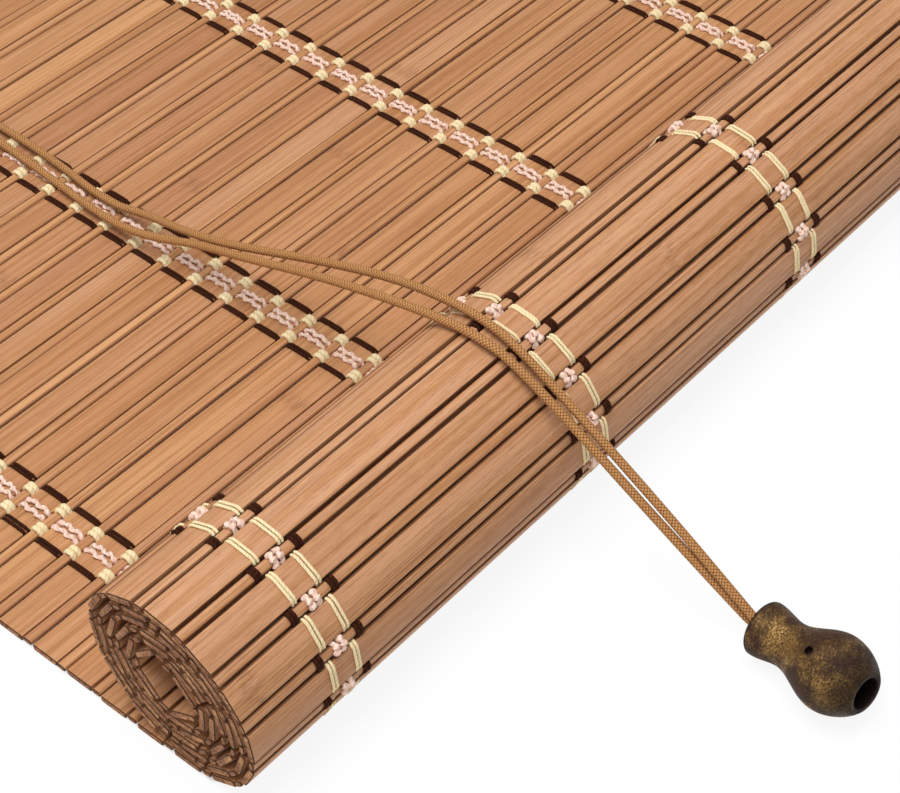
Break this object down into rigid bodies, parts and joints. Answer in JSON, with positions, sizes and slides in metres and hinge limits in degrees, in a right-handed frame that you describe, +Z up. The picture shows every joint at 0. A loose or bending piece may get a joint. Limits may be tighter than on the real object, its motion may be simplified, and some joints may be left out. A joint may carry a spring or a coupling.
{
  "type": "bamboo roll-up blind",
  "caption": "Bamboo blind of flat slats and thin sticks bound by bands of yarn, lower end rolled up, with a wooden headrail, cord pulleys, pull cord and a turned tassel.",
  "frame": {"origin": "on the surface that the mat lies on, below the middle of the blind's box without its cord", "axes": "+X along the slats, +Y from the roll to the headrail, +Z up out of the mat's front face"},
  "size_m": [0.6, 0.4964, 0.0527],
  "materials": {
    "bamboo": "satin, stained golden brown, with fine fibres along the slats",
    "dark_yarn": "dark brown twisted cotton",
    "cream_yarn": "cream twisted cotton",
    "pink_yarn": "pale pink soft chenille",
    "headrail_wood": "satin stained wood",
    "steel": "zinc plated",
    "sheave_plastic": "moulded nylon",
    "cord": "golden brown braided cord",
    "tassel_wood": "dark mottled stain under semi-gloss varnish"
  },
  "bodies": {
    "blind": {"wide_slats_flat": "bamboo", "wide_slats_rolled": "bamboo", "binding_slat": "bamboo", "narrow_slats_flat": "bamboo", "narrow_slats_rolled": "bamboo", "band_1_dark_yarns": "dark_yarn", "band_1_cream_yarns": "cream_yarn", "band_1_pink_yarn": "pink_yarn", "band_2_dark_yarns": "dark_yarn", "band_2_cream_yarns": "cream_yarn", "band_2_pink_yarn": "pink_yarn", "band_3_dark_yarns": "dark_yarn", "band_3_cream_yarns": "cream_yarn", "band_3_pink_yarn": "pink_yarn", "band_4_dark_yarns": "dark_yarn", "band_4_cream_yarns": "cream_yarn", "band_4_pink_yarn": "pink_yarn", "band_5_dark_yarns": "dark_yarn", "band_5_cream_yarns": "cream_yarn", "band_5_pink_yarn": "pink_yarn", "band_6_dark_yarns": "dark_yarn", "band_6_cream_yarns": "cream_yarn", "band_6_pink_yarn": "pink_yarn", "band_7_dark_yarns": "dark_yarn", "band_7_cream_yarns": "cream_yarn", "band_7_pink_yarn": "pink_yarn", "headrail": "headrail_wood", "headrail_tacks": "steel", "hanger_plate_left": "steel", "hanger_plate_right": "steel", "hanger_screws": "steel", "pulley_screws": "steel", "double_pulley_bracket": "steel", "double_pulley_pin": "steel", "single_pulley_bracket": "steel", "single_pulley_pin": "steel", "cord_strand_left": "cord", "cord_strand_right": "cord", "cord_knot": "cord", "cord_tassel": "tassel_wood"},
    "left_sheave": {"double_pulley_sheave_left": "sheave_plastic"},
    "right_sheave": {"double_pulley_sheave_right": "sheave_plastic"},
    "single_sheave": {"single_pulley_sheave": "sheave_plastic"}
  },
  "joints": [
    {"name": "left_sheave_spin", "type": "hinge", "parent": "blind", "child": "left_sheave", "pos_m": [-0.1797, 0.15215, 0.0088], "axis": [1, 0, 0], "continuous": true},
    {"name": "right_sheave_spin", "type": "hinge", "parent": "blind", "child": "right_sheave", "pos_m": [-0.1743, 0.15215, 0.0088], "axis": [1, 0, 0], "continuous": true},
    {"name": "single_sheave_spin", "type": "hinge", "parent": "blind", "child": "single_sheave", "pos_m": [0.177, 0.15215, 0.0088], "axis": [1, 0, 0], "continuous": true}
  ]
}
